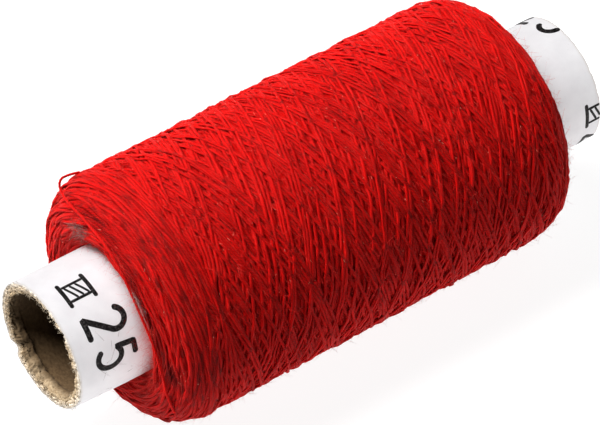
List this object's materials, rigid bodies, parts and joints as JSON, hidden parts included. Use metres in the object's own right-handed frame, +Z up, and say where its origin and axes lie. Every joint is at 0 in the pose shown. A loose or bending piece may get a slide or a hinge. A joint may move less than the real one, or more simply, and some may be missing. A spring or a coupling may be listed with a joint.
{
  "type": "spool of thread",
  "caption": "Spool of cross-wound sewing thread on a plain cardboard tube with a wrapped paper label and a central spindle hole.",
  "frame": {"origin": "on the surface that the spool rests on, under the middle of the tube", "axes": "+X along the tube's axis from the near end with the loose strand to the far end, +Z up"},
  "size_m": [0.0676, 0.028, 0.0279],
  "materials": {
    "lining_board": "matte, rough brown grey chipboard lining",
    "core_board": "matte, fibrous grey-brown chipboard with a torn edge",
    "label_paper": "smooth white paper with a slight sheen",
    "red_thread": "twisted sewing thread, soft sheen with fine fuzz"
  },
  "bodies": {
    "root": {"core_inner_ply": "lining_board", "core_middle_ply": "core_board", "core_outer_ply": "core_board", "label_wrap": "label_paper", "thread_package": "red_thread", "loose_strand": "red_thread"}
  },
  "joints": []
}
